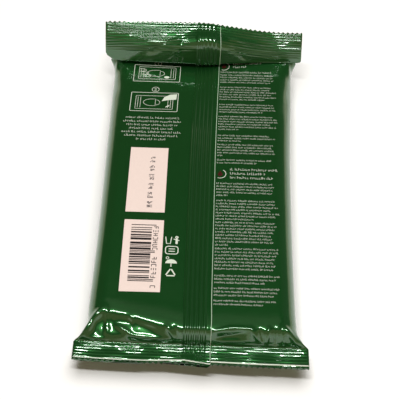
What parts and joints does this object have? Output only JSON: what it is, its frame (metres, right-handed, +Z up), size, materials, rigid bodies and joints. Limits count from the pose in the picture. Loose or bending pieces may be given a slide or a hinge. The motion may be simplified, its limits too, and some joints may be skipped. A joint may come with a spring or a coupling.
{
  "type": "wet wipes pack",
  "caption": "Sealed flow-wrap pack of wet wipes lying on its front: crimped end seals, folded fin seal on the back and a resealable label on the front.",
  "frame": {"origin": "middle of the resealable label's outer face, which the pack lies on", "axes": "+X across the pack to the right, +Y along it from the near end seal to the raised far end seal, +Z up from the surface it lies on, out of the back panel with the fin seal"},
  "size_m": [0.102, 0.1894, 0.0356],
  "materials": {
    "green_film": "glossy printed laminate film",
    "label_film": "satin printed label film"
  },
  "bodies": {
    "root": {"film_pack": "green_film", "reseal_label": "label_film"}
  },
  "joints": []
}
